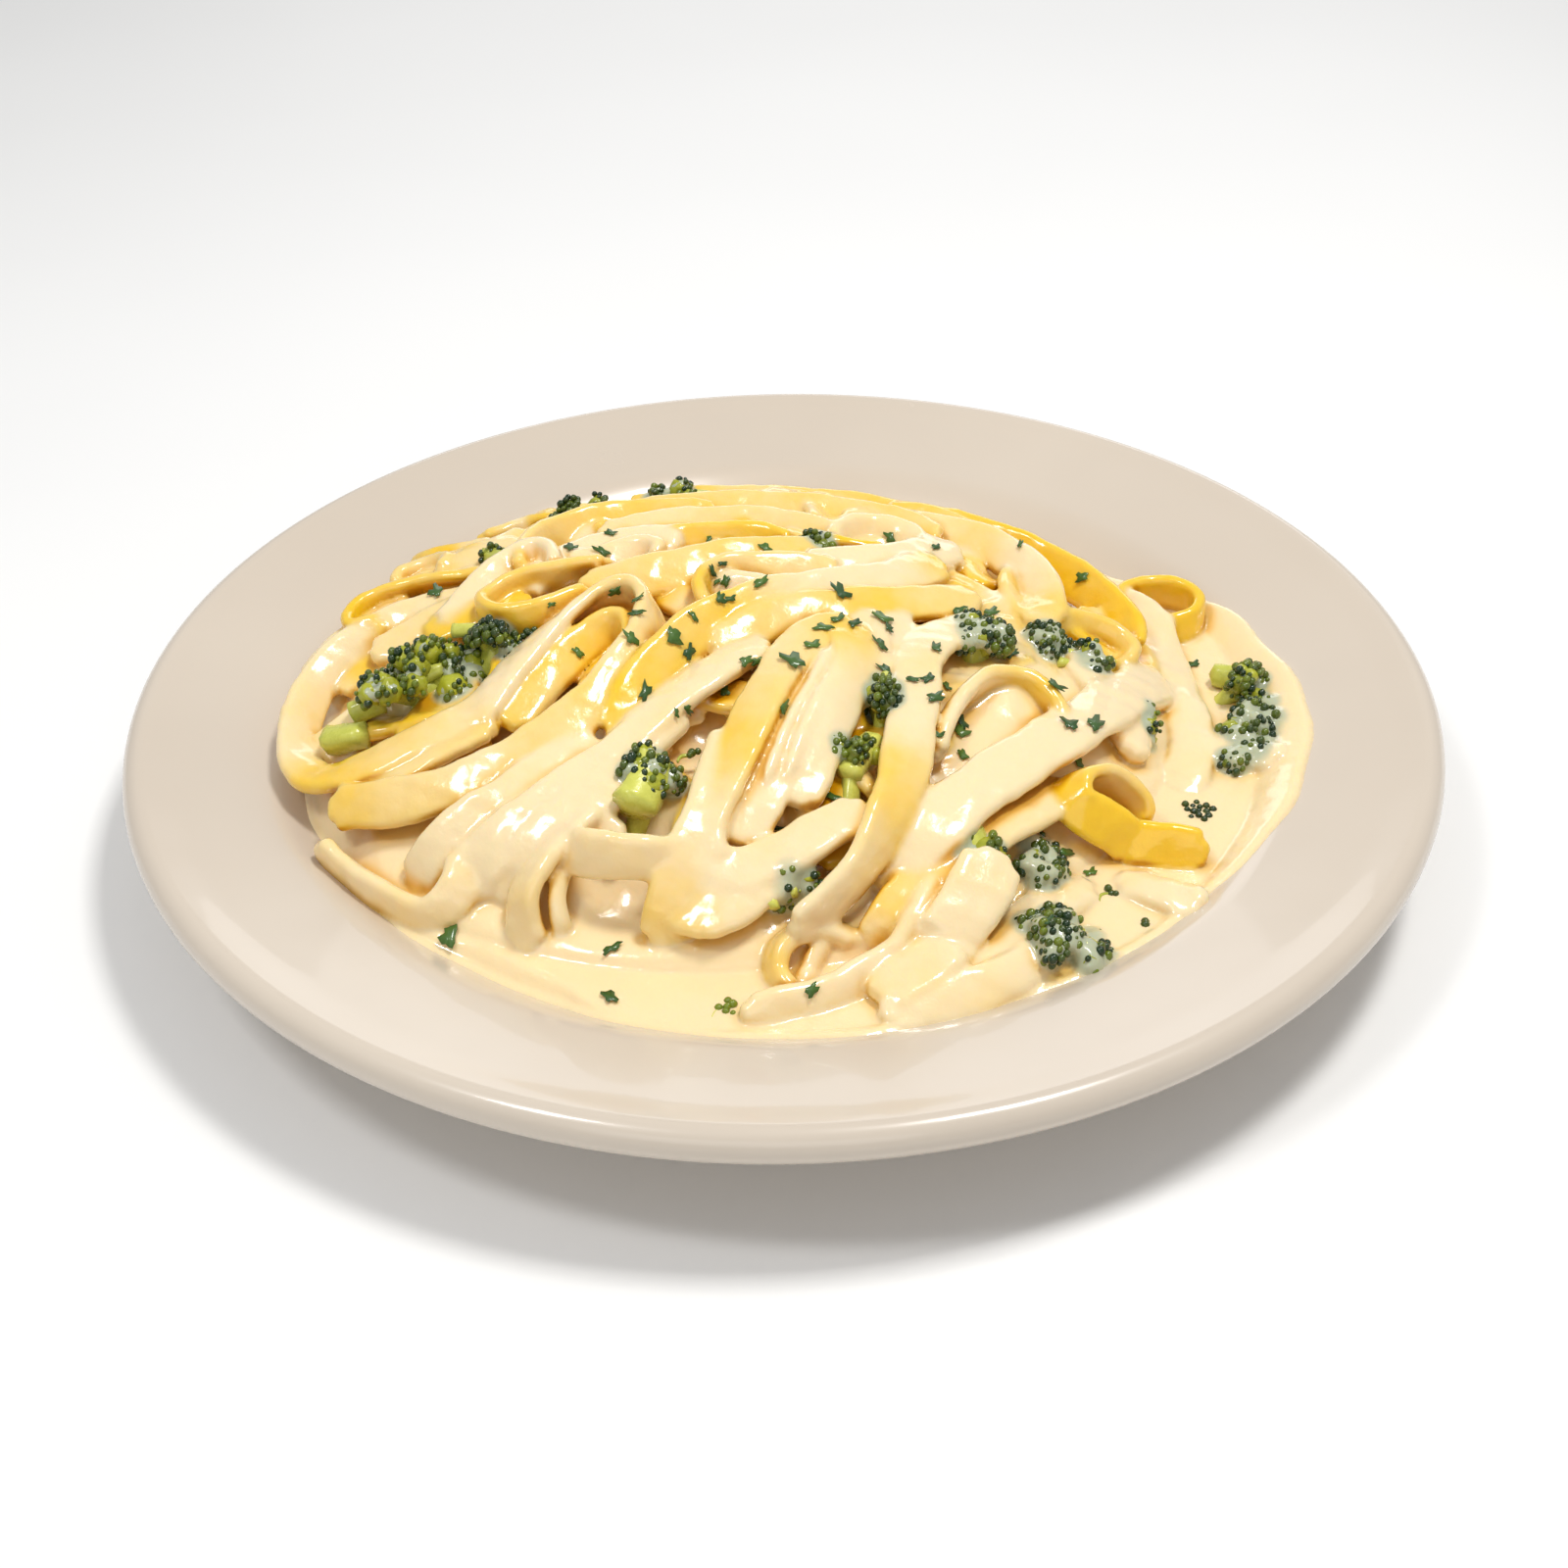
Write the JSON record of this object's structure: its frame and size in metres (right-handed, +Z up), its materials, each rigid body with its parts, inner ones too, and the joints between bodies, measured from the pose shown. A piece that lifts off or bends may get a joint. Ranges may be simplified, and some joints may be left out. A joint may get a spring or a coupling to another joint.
{
  "type": "plate of fettuccine alfredo",
  "caption": "Mound of ribbon pasta in cream sauce with broccoli florets, in a pool of the sauce on a round wide-rimmed china plate that stands on its foot ring.",
  "frame": {"origin": "centre of the plate's foot ring, at the height of its underside", "axes": "+Z up out of the plate; -Y towards the side where the pasta slopes down into the open pool of sauce; +X to the right seen from there"},
  "size_m": [0.2646, 0.2646, 0.0441],
  "materials": {
    "china": "warm off-white glossy glaze",
    "pasta": "smooth, moist, glossy with sauce",
    "sauce": "smooth glossy cream",
    "broccoli": "rough beaded crown, partly filmed with sauce"
  },
  "bodies": {
    "root": {"plate": "china", "fettuccine": "pasta", "alfredo_sauce": "sauce", "broccoli_01": "broccoli", "broccoli_02": "broccoli", "broccoli_03": "broccoli", "broccoli_04": "broccoli", "broccoli_05": "broccoli", "broccoli_06": "broccoli", "broccoli_07": "broccoli", "broccoli_08": "broccoli", "broccoli_09": "broccoli", "broccoli_10": "broccoli", "broccoli_11": "broccoli", "broccoli_12": "broccoli", "broccoli_13": "broccoli", "broccoli_14": "broccoli", "broccoli_15": "broccoli", "broccoli_16": "broccoli", "broccoli_17": "broccoli", "broccoli_18": "broccoli", "broccoli_19": "broccoli"}
  },
  "joints": []
}
